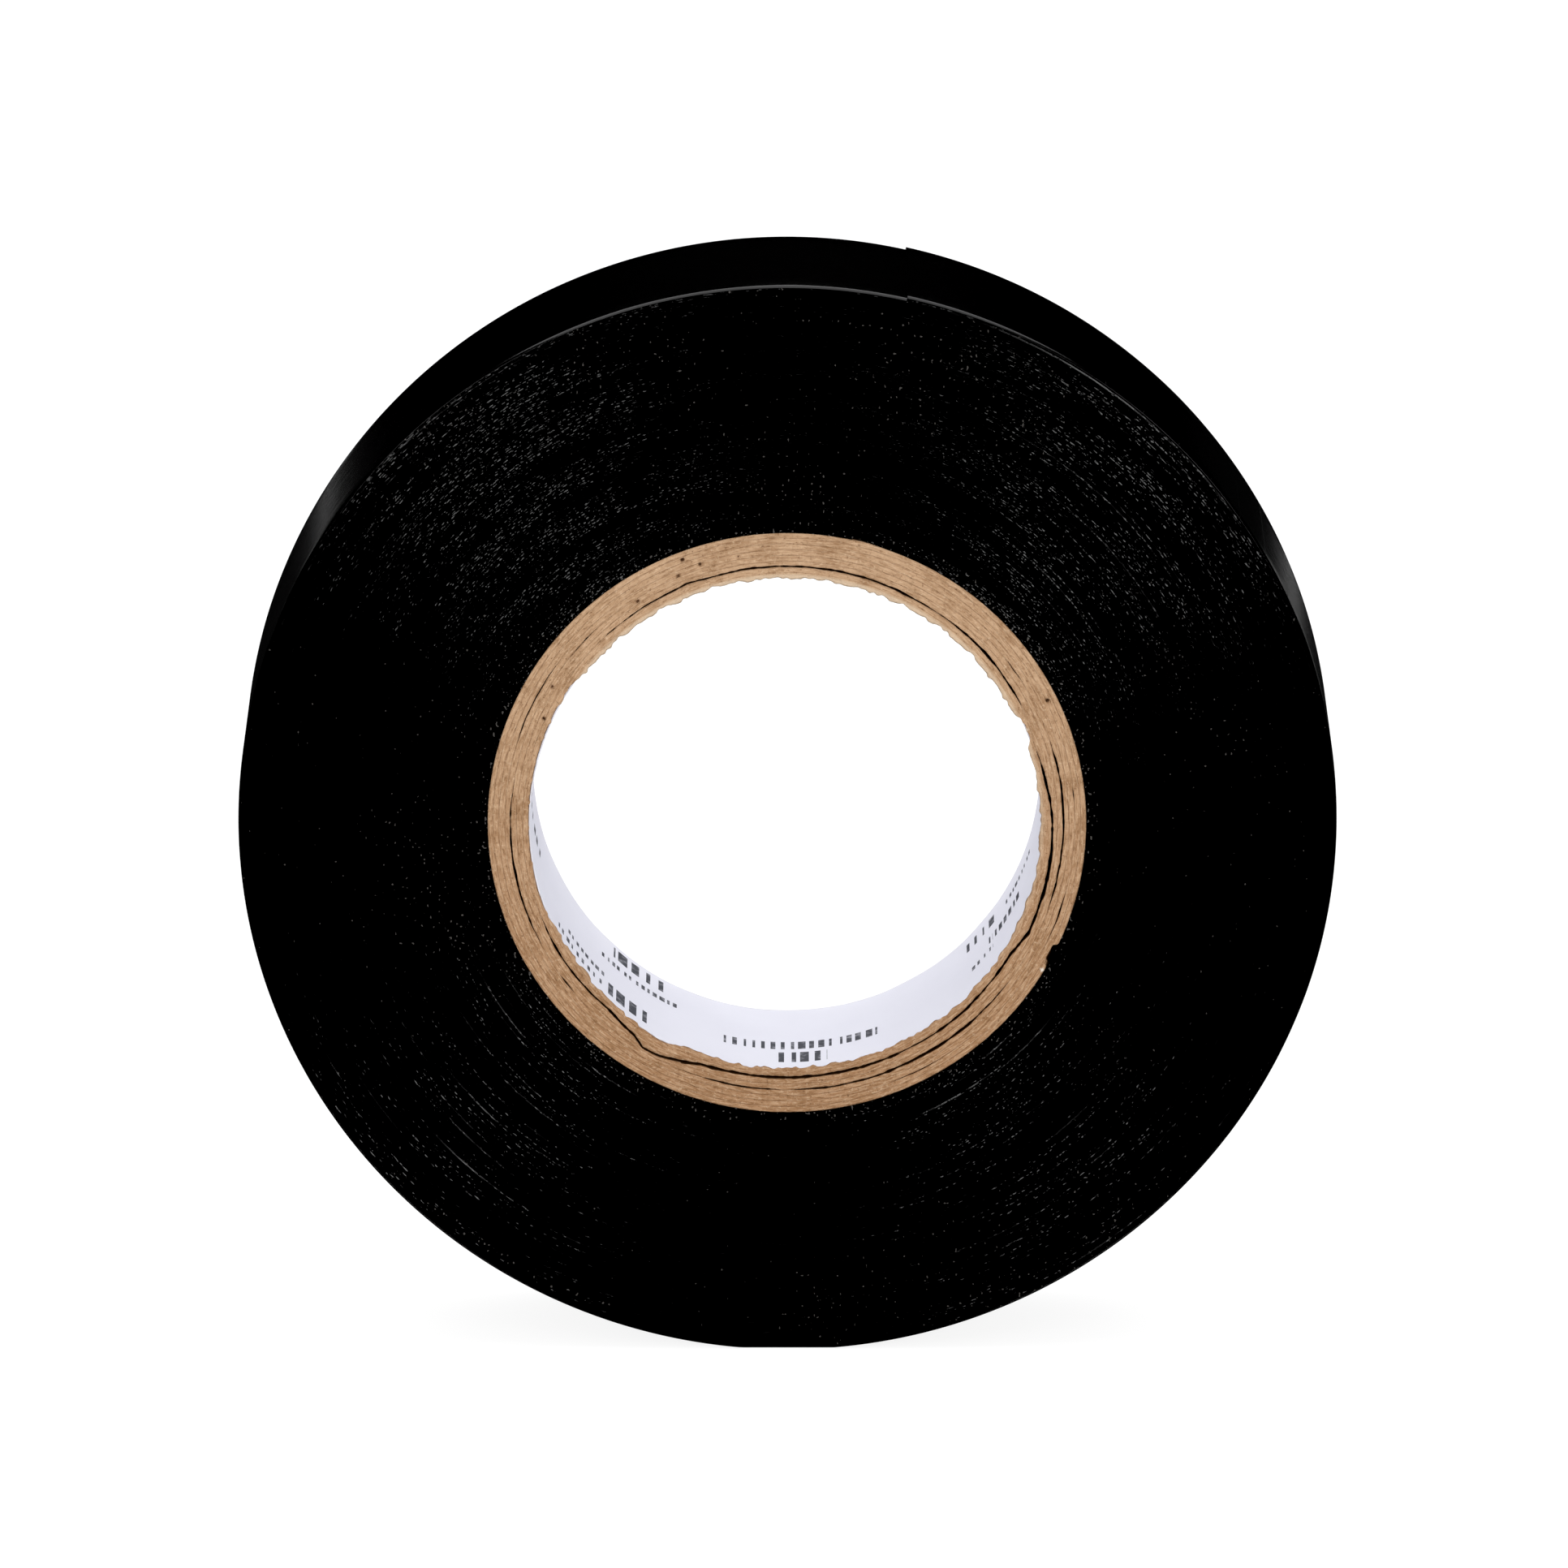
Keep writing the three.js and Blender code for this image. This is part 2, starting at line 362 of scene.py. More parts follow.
class NodeTree:
    """Makes nodes in a tree. Apart from node and give, each method returns output sockets."""

    def __init__(self, tree):
        self.tree = tree

    def node(self, kind, inputs=None, **settings):
        made = self.tree.nodes.new(kind)
        for key, value in settings.items():
            setattr(made, key, value)
        for key, value in (inputs or {}).items():
            self.give(made.inputs[key], value)
        return made

    def give(self, socket, value):
        if isinstance(value, bpy.types.NodeSocket):
            self.tree.links.new(value, socket)
        else:
            socket.default_value = value

    def math(self, operation, *values):
        made = self.node("ShaderNodeMath", operation=operation)
        for socket, value in zip(made.inputs, values):
            self.give(socket, value)
        return made.outputs[0]

    def vector(self, x, y, z):
        return self.node("ShaderNodeCombineXYZ", {"X": x, "Y": y, "Z": z}).outputs[0]

    def parts(self, vector):
        return self.node("ShaderNodeSeparateXYZ", {"Vector": vector}).outputs

    def place(self):
        """Where a point is, in metres in the object's own frame."""
        return self.node("ShaderNodeTexCoord").outputs["Object"]

    def rays(self):
        return self.node("ShaderNodeLightPath").outputs

    def ramp(self, value, *stops):
        """A grey from (position, grey) stops."""
        made = self.node("ShaderNodeValToRGB", {"Fac": value})
        elements = made.color_ramp.elements
        while len(elements) < len(stops):
            elements.new(0.5)
        for element, (position, grey) in zip(elements, stops):
            element.position = position
            element.color = (grey, grey, grey, 1)
        return made.outputs["Color"]

    def rise(self, value, low, high):
        """0 up to low, 1 from high on, and a smooth rise between. low may be the larger one."""
        inputs = {"Value": value, "From Min": low, "From Max": high}
        made = self.node("ShaderNodeMapRange", inputs, interpolation_type="SMOOTHSTEP")
        return made.outputs["Result"]

    def apart(self, value, middle):
        return self.math("ABSOLUTE", self.math("SUBTRACT", value, middle))

    def noise(self, vector, scale, detail=2.0, roughness=0.5):
        inputs = {"Vector": vector, "Scale": scale, "Detail": detail, "Roughness": roughness}
        return self.node("ShaderNodeTexNoise", inputs).outputs["Fac"]

    def cells(self, vector):
        """Distance to the nearest of many scattered points: a field of cones."""
        inputs = {"Vector": vector, "Scale": 1.0}
        return self.node("ShaderNodeTexVoronoi", inputs).outputs["Distance"]

    def mix(self, share, first, second):
        made = self.node("ShaderNodeMix", data_type="RGBA")
        for name, value in (("Factor", share), ("A", first), ("B", second)):
            sockets = [s for s in made.inputs if s.name == name and s.enabled]
            self.give(sockets[0], value)
        return [s for s in made.outputs if s.enabled][0]


class Shader(NodeTree):
    """A material's nodes, with its principled shader in place."""

    def __init__(self, name, specular):
        self.material = bpy.data.materials.new(name)
        self.material.use_nodes = True
        super().__init__(self.material.node_tree)
        self.surface = self.tree.nodes["Principled BSDF"]
        self.surface.inputs["Specular IOR Level"].default_value = specular

    def set(self, **inputs):
        for key, value in inputs.items():
            self.give(self.surface.inputs[key.replace("_", " ")], value)

    def bump(self, height, distance, strength=1.0, normal=None):
        """A normal. Height times distance is in metres."""
        inputs = {"Height": height, "Distance": distance, "Strength": strength}
        made = self.node("ShaderNodeBump", inputs)
        if normal:
            self.tree.links.new(normal, made.inputs["Normal"])
        return made.outputs["Normal"]

    def round_roll(self, place):
        """Radius in metres, turn clockwise from the top in radians, and y in metres."""
        x, y, z = self.parts(place)
        up = self.math("SUBTRACT", z, AXIS * MM)
        squares = self.math("ADD", self.math("MULTIPLY", x, x), self.math("MULTIPLY", up, up))
        return self.math("SQRT", squares), self.math("ARCTAN2", x, up), y

    def stretched(self, around, scales):
        """Texture coordinates that follow the wraps, with a scale for each direction."""
        return self.vector(*[self.math("MULTIPLY", c, k) for c, k in zip(around, scales)])


# ---------------------------------------------------------------------------------------------
# Tape materials
# ---------------------------------------------------------------------------------------------


def wound_edge_material():
    """The slit edges of the wraps: near black, with short raised streaks that glint, and dust."""
    s = Shader("tape_wound_edge", specular=0.45)
    place = s.place()
    around = s.round_roll(place)
    radius, turn, _ = around
    burrs = s.cells(s.stretched(around, BURR_SCALES))
    # Every burr leans outward, so the wraps above the core glint more than those below it
    lean = s.math("MULTIPLY", radius, BURR_LEAN)
    # The mask is the bump's strength: in the height, its own edges would be slopes that glint
    rings = s.noise(s.stretched(around, RING_SCALES), 1.0, 3.0)
    specks = s.noise(s.stretched(around, SPECK_SCALES), 1.0, 1.0)
    raised = s.math(
        "MULTIPLY", s.ramp(rings, (0.4, 0.3), (0.6, 1.0)), s.ramp(specks, (0.51, 0.0), (0.59, 1.0))
    )
    s.set(
        Base_Color=s.mix(dust_share(s, place, radius, turn), TAPE_BLACK, TAPE_DUST),
        Roughness=s.ramp(s.noise(place, 900.0, 2.0), (0.3, 0.1), (0.7, 0.17)),
        Normal=s.bump(s.math("SUBTRACT", burrs, lean), BURR_HEIGHT, raised),
    )
    return s.material


def dust_share(s, place, radius, turn):
    """Where the dust lies: thinly all over, more next to the cut core and on the scuffed wraps."""
    grains = s.noise(place, 4200.0, 0.0)
    clumps = s.ramp(s.noise(place, 70.0, 3.0), (0.5, 0.0), (0.75, 0.8))
    beside_core = s.rise(radius, (CORE_RADIUS + DUST_BESIDE_CORE) * MM, CORE_RADIUS * MM)
    thick = s.math("MAXIMUM", clumps, beside_core)
    for at, half_width, middle, half_length in SCUFFS:
        across = s.rise(s.apart(radius, at * MM), half_width * MM, 0.0)
        along = s.rise(s.apart(turn, math.radians(middle)), math.radians(half_length), 0.0)
        thick = s.math("MAXIMUM", thick, s.math("MULTIPLY", across, along))
    level = s.math("ADD", grains, s.math("MULTIPLY", thick, DUST_HELP))
    return s.rise(level, *DUST_LEVELS)


def tape_face_material():
    """The tape's outside: smooth semi-gloss vinyl with a faint leather of calender marks."""
    s = Shader("tape_vinyl", specular=0.5)
    place = s.place()
    drag = s.noise(s.stretched(s.round_roll(place), DRAG_SCALES), 1.0, 3.0)
    grain = s.noise(place, 3500.0, 2.0)
    normal = s.bump(drag, DRAG_HEIGHT, 0.8)
    s.set(
        Base_Color=s.mix(drag, TAPE_BLACK, TAPE_DRAG_MARK),
        Roughness=s.ramp(grain, (0.25, 0.1), (0.8, 0.2)),
        Normal=s.bump(grain, GRAIN_HEIGHT, 0.8, normal),
    )
    return s.material


# ---------------------------------------------------------------------------------------------
# Core materials
# ---------------------------------------------------------------------------------------------


def board_material():
    """Cut kraft board: warm brown fibre with darker flecks, paler and torn at the bore's lip.
    Painted light and shade make it paler towards the top and darker towards the foot.
    """
    s = Shader("kraft_board", specular=0.1)
    place = s.place()
    around = s.round_roll(place)
    fibres = s.noise(s.stretched(around, FIBRE_SCALES), 1.0, 5.0, 0.7)
    mottle = s.noise(place, 420.0, 5.0, 0.65)
    fuzz = s.noise(place, 3300.0, 4.0, 0.75)
    # Painted light and shade: the board is coloured paler towards the top and darker towards the
    # foot
    top = s.rise(s.parts(place)[2], (AXIS - CORE_RADIUS) * MM, (AXIS + CORE_RADIUS) * MM)
    colour = s.mix(top, KRAFT_PAINTED_SHADE_AT_FOOT, KRAFT_PAINTED_LIGHT_AT_TOP)
    colour = s.mix(s.ramp(mottle, (0.3, 0.7), (0.55, 0.0)), colour, KRAFT_STAIN)
    colour = s.mix(s.ramp(fibres, (0.47, 0.0), (0.65, 0.55)), colour, KRAFT_PALE_FIBRE)
    colour = s.mix(s.ramp(fibres, (0.33, 0.6), (0.45, 0.0)), colour, KRAFT_DARK_FIBRE)
    colour = s.mix(s.ramp(fuzz, (0.3, 0.8), (0.42, 0.0)), colour, KRAFT_FLECK)
    colour = s.mix(s.ramp(fuzz, (0.56, 0.0), (0.7, 0.6)), colour, KRAFT_FUZZ)
    colour = s.mix(joint_share(s, around, mottle), colour, KRAFT_FLECK)
    colour = s.mix(torn_share(s, around, top), colour, KRAFT_TORN)
    for spot in PALE_SPOTS:
        colour = s.mix(pale_spot_share(s, around, fuzz, spot), colour, TORN_PAPER)
    # Painted shade inside pits and notches
    colour = s.mix(painted_pit_shade_share(s, around), colour, KRAFT_PAINTED_PIT_SHADE)
    normal = s.bump(fibres, FIBRE_HEIGHT, 0.8)
    s.set(Base_Color=colour, Roughness=0.92, Normal=s.bump(fuzz, FUZZ_HEIGHT, 1.0, normal))
    return s.material


def joint_share(s, around, mottle):
    """A faint broken line along each glued joint, where it hasn't cracked."""
    wobble = s.math("MULTIPLY", s.noise(s.stretched(around, JOINT_SCALES), 1.0, 3.0), 0.3)
    plies_out = s.math("DIVIDE", s.math("SUBTRACT", around[0], LINER_RADIUS * MM), PLY_PITCH * MM)
    from_joint = s.math(
        "PINGPONG", s.math("SUBTRACT", s.math("ADD", plies_out, wobble), 0.15), 0.5
    )
    broken = s.ramp(mottle, (0.42, 0.0), (0.62, 0.5))
    return s.math("MULTIPLY", s.rise(from_joint, 0.1, 0.0), broken)


def torn_share(s, around, top):
    """The pale torn lip round the bore. It shows more towards the top, following the painted light.
    """
    at_lip = s.rise(around[0], TORN_LIP[0] * MM, TORN_LIP[1] * MM)
    return s.math("MULTIPLY", s.math("MULTIPLY", at_lip, top), 0.6)


def pale_spot_share(s, around, fuzz, spot):
    spot_angle, spot_radius, size = spot
    radius, turn, _ = around
    away = s.math("MULTIPLY", s.apart(turn, math.radians(spot_angle)), spot_radius * MM)
    distance = s.math("ADD", away, s.apart(radius, spot_radius * MM))
    ragged = s.ramp(fuzz, (0.35, 0.3), (0.55, 1.0))
    return s.math("MULTIPLY", s.rise(distance, size * MM, 0.0), ragged)


def painted_pit_shade_share(s, around):
    """Painted shade inside pits and notches, which lie deeper than the cut face."""
    radius, _, y = around
    dark_from, dark_at = [(HALF_WIDTH - depth) * MM for depth in PIT_SHADE_DEPTHS]
    deep = s.rise(s.math("ABSOLUTE", y), dark_from, dark_at)
    return s.math("MULTIPLY", deep, s.rise(radius, PIT_SHADE_RADII[0] * MM, PIT_SHADE_RADII[1] * MM))


def board_joint_material():
    """The glued faces between plies, seen only down the cracks: painted shade, stained with dry
    glue.
    """
    s = Shader("board_joint_painted_shade", specular=0.0)
    stain = s.noise(s.place(), 900.0, 3.0)
    s.set(
        Base_Color=s.mix(stain, GLUE_AND_SHADE_DARK, GLUE_AND_SHADE_PALE),
        Roughness=0.95,
        Normal=s.bump(stain, GLUE_HEIGHT, 0.8),
    )
    return s.material


def liner_material():
    """Bluish white paper with a faint grain and a generic print of bars and blocks."""
    s = Shader("liner_paper", specular=0.3)
    place = s.place()
    grain = s.noise(place, 2400.0, 4.0, 0.6)
    cloud = s.noise(place, 160.0, 3.0)
    worn = s.ramp(s.noise(place, 1400.0, 3.0), (0.3, 0.6), (0.5, 0.95))
    inked = s.math("MULTIPLY", print_share(s, place), worn)
    s.set(
        Base_Color=s.mix(inked, s.mix(cloud, LINER_SHADE, LINER_WHITE), PRINT_INK),
        Roughness=0.7,
        Normal=s.bump(grain, PAPER_HEIGHT, 0.5),
    )
    return s.material


def print_share(s, place):
    """1 where the liner is printed: inside each mark's oblong, on the crests of an uneven wave."""
    x, y, z = s.parts(place)
    from_foot = s.math("ARCTAN2", x, s.math("SUBTRACT", AXIS * MM, z))
    uneven = s.math("MULTIPLY", s.noise(s.vector(from_foot, 0.0, 0.0), 31.0, 1.0), 9.0)
    found = 0.0
    for middle, mark_y, length, height, bars in PRINT_MARKS:
        length = math.radians(length)
        along = s.math("LESS_THAN", s.apart(from_foot, math.radians(middle)), length / 2)
        across = s.math("LESS_THAN", s.apart(y, mark_y * MM), height / 2 * MM)
        beats = s.math("MULTIPLY", from_foot, bars * 2 * math.pi / length)
        bar = s.math("GREATER_THAN", s.math("SINE", s.math("ADD", beats, uneven)), 0.1)
        mark = s.math("MULTIPLY", s.math("MULTIPLY", along, across), bar)
        found = s.math("MAXIMUM", found, mark)
    return found


EDGE = wound_edge_material()
VINYL = tape_face_material()
BOARD = board_material()
BOARD_JOINT_SHADE = board_joint_material()
LINER = liner_material()

# ---------------------------------------------------------------------------------------------
# Tape
# ---------------------------------------------------------------------------------------------


def shoulder_depth(from_outside):
    """How far the roll's rounded corner stands back from its face."""
    below = np.clip(SHOULDER - from_outside, 0, SHOULDER)
    return SHOULDER - np.sqrt(SHOULDER ** 2 - below ** 2)


def edge_setback(angle, wraps_under, depth_fraction):
    """How far a wrap's edge stands back from the roll's even face, at an angle counted from the
    free end along the whole strip, so many wraps under the last one. depth_fraction is 0 outside
    and 1 inside the strip."""
    length = np.radians(angle) * FULL_RADIUS
    wander = EDGE_WANDER * wave(length / EDGE_WANDER_LENGTH, 11)
    wraps_in = (FULL_RADIUS - wrap_radius(angle)) / THICKNESS + depth_fraction
    step = WRAP_STEP * wave(wraps_in, 12) * (1 + round_wave(angle, 5, 13)) / 2
    corner = shoulder_depth(THICKNESS * (wraps_under + depth_fraction))
    return corner + EDGE_SETBACK + wander + step


def pack_points(rows, columns):
    """Radius, angle and setback of the pack's points, in rows that alternate between the groove
    outside a wrap and the crest in the middle of its edge. Two more rows carry the last ones on."""
    row = np.arange(rows + 2)[:, None]
    column = np.arange(columns)[None, :]
    wraps_under = 1 + row // 2
    is_crest = row % 2 == 1
    depth_fraction = np.where(is_crest, 0.5, 0)
    angle = WRAP_END + 360 * (row // 2 + column / columns)
    groove = VALLEY_DEPTH * (1 + 0.5 * wave(angle / 47, 14))
    back = edge_setback(angle, wraps_under, depth_fraction) + np.where(is_crest, 0, groove)
    radius = wrap_radius(angle) - THICKNESS * depth_fraction
    radius = settle(radius, angle, THICKNESS * (wraps_under + depth_fraction))
    # The innermost wrap is stuck to the core, but for a short way beside the strip's inner end
    on_core = CORE_RADIUS - CORE_OVERLAP
    lifted = 1 - smooth_step(0, INNER_END_REACH, column / columns)
    radius = np.where(row == rows - 1, on_core + (radius - on_core) * lifted, radius)
    return radius, angle, back


def make_pack():
    """Every wrap under the last one, as one swept spiral with a ridge for each wrap's edge."""
    columns = PACK_COLUMNS
    rows = 2 * (WRAPS - 1)
    radius, angle, back = pack_points(rows, columns)
    front = ring_points(radius, angle, -HALF_WIDTH + back)
    rear = ring_points(radius, angle, HALF_WIDTH - back)
    # Past the last column each row carries on two rows further in
    index = np.arange((rows + 2) * columns).reshape(rows + 2, columns)
    across = np.concatenate([index[:rows], index[2:, :1]], axis=1)
    side = np.stack(
        [across[:-1, :-1], across[1:, :-1], across[1:, 1:], across[:-1, 1:]], axis=-1
    ).reshape(-1, 4)
    to_rear = index.size
    outer, inner = across[0], across[-1]
    wall = np.stack([outer[:-1], outer[1:], outer[1:] + to_rear, outer[:-1] + to_rear], axis=-1)
    lining = np.stack([inner[:-1], inner[:-1] + to_rear, inner[1:] + to_rear, inner[1:]], axis=-1)
    faces = np.concatenate([side, (side + to_rear)[:, ::-1], wall, lining]).tolist()
    # The strip's cut ends: outside, and inside against the core
    outer_end = index[:3, 0].tolist()
    inner_end = index[:-4:-1, 0].tolist()
    for end in (outer_end, inner_end):
        faces.append([corner + to_rear for corner in end] + end[::-1])
    points = np.concatenate([front.reshape(-1, 3), rear.reshape(-1, 3)])
    piece = make_piece("wound_tape", points, faces, EDGE)
    is_vinyl = np.arange(len(faces)) >= 2 * len(side)
    add_material(piece.data, VINYL, is_vinyl.astype(int))
    keep_ridges_sharp(piece.data, columns)
    flatten_ends(piece.data)
    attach(piece, "roll")
    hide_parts("tape_wound_pack")


def keep_ridges_sharp(mesh, columns):
    """Splits the shading at every edge that runs along a wrap. Such an edge joins two points of one
    row or, past the last column, of a row and the next but one."""
    ends = np.zeros(2 * len(mesh.edges), int)
    mesh.edges.foreach_get("vertices", ends)
    rows = ends.reshape(-1, 2) // columns
    apart = np.abs(rows[:, 0] - rows[:, 1])
    sharp = mesh.attributes.new("sharp_edge", "BOOLEAN", "EDGE")
    sharp.data.foreach_set("value", (apart == 0) | (apart == 2))


def strip_section():
    """A strip's cross-section, once round, as rows of (depth under the outside, distance in from the
    edge, side of the roll)."""
    bend = math.acos(1 - THICKNESS / SHOULDER)
    turns = [bend * step / SHOULDER_STEPS for step in range(SHOULDER_STEPS + 1)]
    corner = [(SHOULDER * (1 - math.cos(turn)), 0) for turn in turns]
    half = [(0, FLAT_MARGIN), *corner, (THICKNESS, FLAT_MARGIN)]
    return [(*row, 1) for row in half] + [(*row, -1) for row in reversed(half)]


def is_edge_row(row, rows):
    """Whether the faces after a row of a strip's section are edge and not vinyl: the last step of
    each rounded corner, and the margins of the inside."""
    inside = rows // 2 - 1
    return row != inside and SHOULDER_STEPS <= row < rows - SHOULDER_STEPS - 1


def make_strip(name, start, end):
    """A stretch of tape as it lies on the roll, from one angle to another."""
    even = np.linspace(start, end, round((end - start) / STRIP_STEP) + 1)[1:-1]
    # The narrow faces at the ends keep the shading even from one stretch to the next
    angle = np.array([start, start + END_STEP, *even, end - END_STEP, end])[None, :]
    columns = angle.size
    section = np.array(strip_section())[:, :, None]
    depth, inward, side = section[:, 0], section[:, 1], section[:, 2]
    ripple = RIPPLE * round_wave(angle, 40, 21) * np.where(depth == 0, 1, 0)
    radius = settle(wrap_radius(angle) - depth + ripple, angle, depth)
    back = edge_setback(angle, 0, depth / THICKNESS) + inward
    points = ring_points(radius, angle, side * (HALF_WIDTH - back))
    rows = len(section)
    first_column = [row * columns for row in range(rows)]
    last_column = [corner + columns - 1 for corner in reversed(first_column)]
    faces = [*grid_faces(rows, columns), first_column, last_column]
    piece = make_piece(name, points, faces, VINYL)
    is_edge = np.repeat([is_edge_row(row, rows) for row in range(rows)], columns - 1)
    add_material(piece.data, EDGE, np.append(is_edge, [True, True]).astype(int))
    flatten_ends(piece.data)
    return piece


def make_outer_wrap():
    piece = make_strip("outer_wrap", PEEL_LINE, WRAP_END)
    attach(piece, "roll")
    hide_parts("tape_outer_wrap")


def make_peeling_tape():
    """The free end. Each piece reaches half a link to either side of its hinge."""
    for number, joint in enumerate(frame["joints"]):
        far_end = hinge_angles[number] + LINK_ANGLE / 2
        near_end = hinge_angles[number] - LINK_ANGLE / 2
        is_first = number == 0
        is_last = number == len(hinges) - 1
        start = FREE_END if is_last else near_end
        end = PEEL_LINE if is_first else far_end
        piece = make_strip(f"peeling_tape_{number + 1}", start, end)
        ends = [Vector(ring_points(wrap_radius(a), a, 0)) * MM for a in (end, near_end)]
        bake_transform(piece)
        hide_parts(joint["child"])


# ---------------------------------------------------------------------------------------------
# Core
# ---------------------------------------------------------------------------------------------

FACE_ROWS = np.linspace(0, 1, 7)  # across a ply's cut face, from the inside out
# Across the core's width: up the outside of a ply, and back down its inside
OUTER_WALL_ROWS = (0.02, 0.06, 0.15, 0.4, 0.75, 0.98)
INNER_WALL_ROWS = (0.98, 0.8, 0.5, 0.2, 0.06, 0.026, 0.018, 0.01)


def patches(angle, radius, count, pitch, seed):
    """Smooth noise over the core's face: count values round the roll, one each pitch outward."""
    radius, angle = np.broadcast_arrays(radius, angle)
    ring = np.floor(radius / pitch).astype(int)
    outward = ease(radius / pitch - ring)
    values = np.random.default_rng(seed).uniform(-1, 1, (64, count))
    place = angle % 360 / 360 * count
    cell = np.floor(place).astype(int)
    along = ease(place - cell)

    def ring_value(which):
        this_one = values[which % 64, cell % count]
        next_one = values[which % 64, (cell + 1) % count]
        return this_one * (1 - along) + next_one * along

    return ring_value(ring) * (1 - outward) + ring_value(ring + 1) * outward


def crack_width(ply, angle):
    """Width of the crack outside a ply at the core's face, with ragged ends."""
    width = np.zeros_like(angle)
    for first, last, full in CRACKS.get(ply, []):
        turned = (angle - first) % 360
        length = last - first
        taper = min(CRACK_TAPER, length / 2)
        share = smooth_step(0, taper, turned) * smooth_step(0, taper, length - turned)
        width = np.maximum(width, np.where(turned < length, share * full, 0))
    ragged = 1 + 0.35 * round_wave(angle, 180, 31 + ply) + 0.35 * round_wave(angle, 40, 41 + ply)
    ragged = ragged + 0.3 * round_wave(angle, 450, 45 + ply)
    return CRACK_GAIN * width * np.maximum(ragged, 0)


def open_share(share_back):
    """How open a crack is: it runs in from each face and closes before the middle of the core."""
    return 1 - smooth_step(*CRACK_DEPTHS, min(share_back, 1 - share_back))


def ply_boundary(ply, angle, share_back):
    """Radius between a ply and the next one out. share_back is 0 on the front face, 1 behind."""
    wander = PLY_WANDER * round_wave(angle, 36, 51 + ply)
    wander = wander + PLY_WOBBLE * round_wave(angle, 150, 61 + ply)
    if ply == 1:
        near = 1 - smooth_step(0, 0.4, share_back)
        wander = wander + along_path(FIRST_CRACK_PATH, angle) * near
    radius = LINER_RADIUS + PLY_PITCH * ply + wander
    if ply > 1:
        radius = np.maximum(radius, ply_boundary(ply - 1, angle, share_back) + THINNEST_PLY)
    return radius


def outer_seam_depth(angle, share_back):
    middle, half, depth = OUTER_SEAM
    turned = half_turn_range(angle - middle + SEAM_TWIST * share_back)
    return depth * (1 - smooth_step(half * 0.8, half * 1.15, np.abs(turned)))


def bore_radius(angle, share_back):
    """Inside of the innermost ply, with its scalloped lip at the front."""
    scallop = 0.11 * round_wave(angle, 130, 71) + 0.1 * round_wave(angle, 360, 72)
    lip = along_path(LIP_PATH, angle) + scallop
    near = 1 - smooth_step(0, LIP_LENGTH / (2 * HALF_WIDTH), share_back)
    return LINER_RADIUS + (lip - LINER_RADIUS) * near


def rim_radius(angle, share_back):
    """Outside of the outermost ply, with its seam."""
    fuzz = WALL_FUZZ * np.abs(round_wave(angle, 300, 73))
    return CORE_RADIUS - outer_seam_depth(angle, share_back) - fuzz


def ply_radii(ply, angle, share_back):
    """Inside and outside of a ply, clear of the cracks."""
    opening = open_share(share_back)
    inner = ply_boundary(ply - 1, angle, share_back) + crack_width(ply - 1, angle) * opening / 2
    outer = ply_boundary(ply, angle, share_back) - crack_width(ply, angle) * opening / 2
    if ply == 1:
        inner = bore_radius(angle, share_back)
    if ply == PLIES:
        outer = rim_radius(angle, share_back)
    return inner, outer


def pit_depth(angle, radius):
    depth = 0.0
    for pit_angle, pit_radius, size, deep in PITS:
        around = np.radians(half_turn_range(angle - pit_angle)) * pit_radius
        squared = (around ** 2 + (radius - pit_radius) ** 2) / size ** 2
        depth = depth + deep * np.exp(-squared)
    return depth


def ply_face(ply, angle, side, seed):
    """Rows of points over a ply's cut face, from the inside out. It curls in beside a crack."""
    inner, outer = ply_radii(ply, angle, 0.0 if side < 0 else 1.0)
    rows = []
    for share in FACE_ROWS:
        radius = inner + (outer - inner) * share
        fuzz = BOARD_FUZZ * patches(angle, radius, 700, 0.09, seed)
        swell = BOARD_SWELL * patches(angle, radius, 110, 0.3, seed + 1)
        opening = crack_width(ply - 1 if share < 0.5 else ply, angle)
        edge = abs(2 * share - 1) ** 4
        parting = edge * (0.012 + 0.06 * smooth_step(0, 0.05, opening))
        back = FACE_SETBACK + parting + fuzz + swell + pit_depth(angle, radius)
        rows.append(ring_points(radius, angle, side * (HALF_WIDTH - back)))
    return rows


def ply_wall(ply, angle, shares_back, which):
    """Rows of points across the core's width, inside a ply (which 0) or outside it (which 1)."""
    rows = []
    for share_back in shares_back:
        radius = ply_radii(ply, angle, share_back)[which]
        rows.append(ring_points(radius, angle, -HALF_WIDTH + 2 * HALF_WIDTH * share_back))
    return rows


def make_ply(ply):
    """One glued layer of the core: a closed ring with a fuzzy cut face, split from its neighbours
    where the glue has let go."""
    angle = np.arange(CORE_COLUMNS)[None, :] * 360 / CORE_COLUMNS
    front = ply_face(ply, angle, -1, 81)
    outside = ply_wall(ply, angle, OUTER_WALL_ROWS, 1)
    back = ply_face(ply, angle, 1, 83)[::-1]
    inside = ply_wall(ply, angle, INNER_WALL_ROWS, 0)
    rows = [*front, *outside, *back, *inside]
    faces = grid_faces(len(rows), CORE_COLUMNS, close_columns=True)
    piece = make_piece(f"board_ply_{ply}", np.concatenate(rows), faces, BOARD)
    # The faces between plies get the painted shade of the cracks
    inside_is_joint = ply > 1
    is_joint = [0] * len(front) + [1] * len(outside) + [0] * len(back)
    is_joint += [int(inside_is_joint)] * len(inside)
    add_material(piece.data, BOARD_JOINT_SHADE, np.repeat(is_joint, CORE_COLUMNS))
    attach(piece, "roll")
    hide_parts(f"core_ply_{ply}")


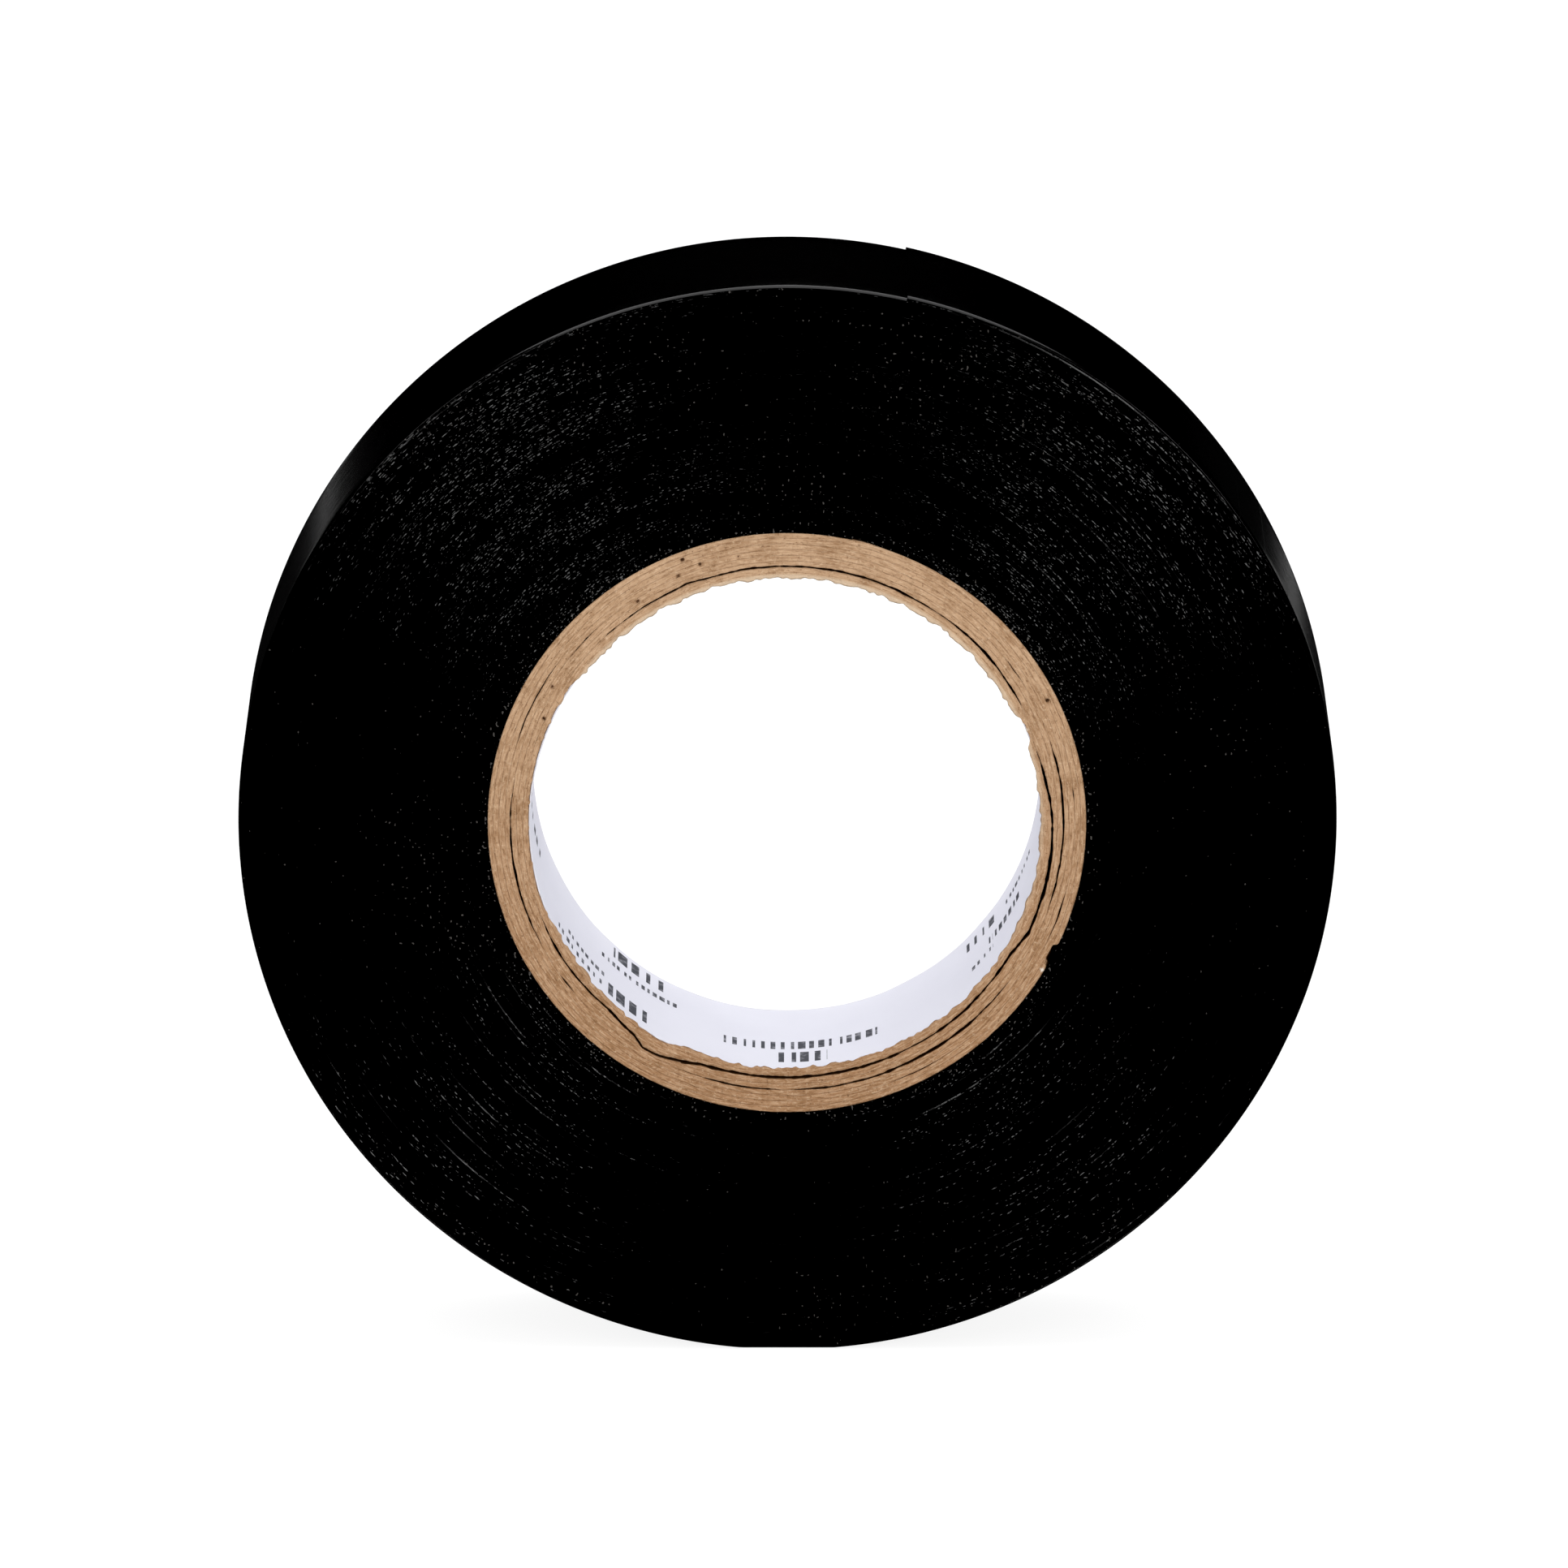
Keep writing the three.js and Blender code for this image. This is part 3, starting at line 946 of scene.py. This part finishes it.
def make_liner():
    """The printed paper that lines the bore, torn along its front edge."""
    angle = np.arange(CORE_COLUMNS)[None, :] * 360 / CORE_COLUMNS
    tear = 0.1 * round_wave(angle, 120, 111) + 0.07 * round_wave(angle, 400, 112)
    dent = LINER_DENTS * round_wave(angle, 50, 113)
    inside = LINER_RADIUS - LINER_THICKNESS
    outside = inside + LINER_THICKNESS * 0.9
    front = -HALF_WIDTH + LINER_SETBACK + tear
    rear = HALF_WIDTH - LINER_REAR_SETBACK
    rows = []
    for share in (0, 0.5, 1):
        rows.append(ring_points(outside, angle, front + (rear - front) * share))
    for share in (1, 0.99, 0.9, 0.5, 0.1, 0.01, 0):
        rows.append(ring_points(inside + dent, angle, front + (rear - front) * share))
    faces = grid_faces(len(rows), CORE_COLUMNS, close_columns=True)
    piece = make_piece("printed_liner", np.concatenate(rows), faces, LINER)
    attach(piece, "roll")
    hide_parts("core_liner")


make_pack()
make_outer_wrap()
make_peeling_tape()
for ply_number in range(1, PLIES + 1):
    make_ply(ply_number)
make_liner()

# ---------------------------------------------------------------------------------------------
# Stage
# ---------------------------------------------------------------------------------------------


def floor_material():
    """White to the camera. In the black tape's reflections it is dark, apart from one pale band
    behind the roll."""
    s = Shader("floor_white", specular=0.0)
    place = s.place()
    rays = s.rays()
    x, y, _ = s.parts(place)
    band = s.ramp(s.math("ADD", y, s.math("MULTIPLY", x, BAND_SLANT)), *FLOOR_BAND)
    white = s.mix(s.noise(place, 2.0, 2.0), (0.8, 0.8, 0.8, 1), (0.84, 0.84, 0.84, 1))
    seen = s.mix(rays["Is Camera Ray"], white, FLOOR_SHADOW_CATCH)
    glow = s.math(
        "ADD",
        s.math("MULTIPLY", rays["Is Camera Ray"], FLOOR_GLOW),
        s.math("MULTIPLY", rays["Is Glossy Ray"], BAND_GLOW),
    )
    s.set(
        Base_Color=s.mix(rays["Is Glossy Ray"], seen, FLOOR_IN_REFLECTIONS),
        Roughness=0.9,
        Emission_Color=s.mix(rays["Is Camera Ray"], band, WHITE),
        Emission_Strength=glow,
    )
    return s.material


def make_floor():
    mesh = bpy.data.meshes.new("floor")
    size = FLOOR_SIZE
    corners = [(-size, -size, 0), (size, -size, 0), (size, size, 0), (-size, size, 0)]
    mesh.from_pydata(corners, [], [(0, 1, 2, 3)])
    mesh.materials.append(floor_material())
    floor = bpy.data.objects.new("floor", mesh)
    bpy.context.scene.collection.objects.link(floor)


def make_world():
    """White behind the roll, a soft fill on it, and next to nothing in its reflections."""
    world = bpy.data.worlds.new("studio")
    bpy.context.scene.world = world
    world.use_nodes = True
    s = NodeTree(world.node_tree)
    rays = s.rays()
    glow = 0.0
    for ray, strength in WORLD_GLOW.items():
        glow = s.math("MULTIPLY_ADD", rays[ray], strength, glow)
    background = world.node_tree.nodes["Background"]
    s.give(background.inputs["Color"], WHITE)
    s.give(background.inputs["Strength"], glow)


def make_softbox(name, direction, distance, size, power):
    light = bpy.data.lights.new(name, "AREA")
    light.shape = "RECTANGLE"
    light.size, light.size_y = size
    light.energy = power
    holder = bpy.data.objects.new(name, light)
    centre = Vector((0, 0, AXIS * MM))
    way = Vector(direction).normalized()
    holder.location = centre + way * distance
    holder.rotation_mode = "QUATERNION"
    holder.rotation_quaternion = way.to_track_quat("Z", "Y")
    bpy.context.scene.collection.objects.link(holder)


def make_camera():
    data = bpy.data.cameras.new("camera")
    data.lens = CAMERA_LENS
    data.sensor_width = 36
    data.clip_start = 0.01
    data.clip_end = 50
    camera = bpy.data.objects.new("camera", data)
    forward = Vector((0, math.cos(CAMERA_TILT), -math.sin(CAMERA_TILT)))
    up = Vector((0, math.sin(CAMERA_TILT), math.cos(CAMERA_TILT)))
    sideways = Vector((1, 0, 0))
    face = Vector((0, -HALF_WIDTH, AXIS)) * MM
    target = face + sideways * CAMERA_AIM[0] * MM + up * CAMERA_AIM[1] * MM
    camera.location = target - forward * CAMERA_DISTANCE * MM
    camera.rotation_mode = "QUATERNION"
    camera.rotation_quaternion = forward.to_track_quat("-Z", "Y")
    bpy.context.scene.collection.objects.link(camera)
    bpy.context.scene.camera = camera


def set_black_level():
    view = bpy.context.scene.view_settings
    view.view_transform = "Standard"
    view.use_curve_mapping = True
    view.curve_mapping.black_level = (BLACK_LEVEL,) * 3


make_floor()
make_world()
for softbox in SOFTBOXES:
    make_softbox(*softbox)
make_camera()
set_black_level()
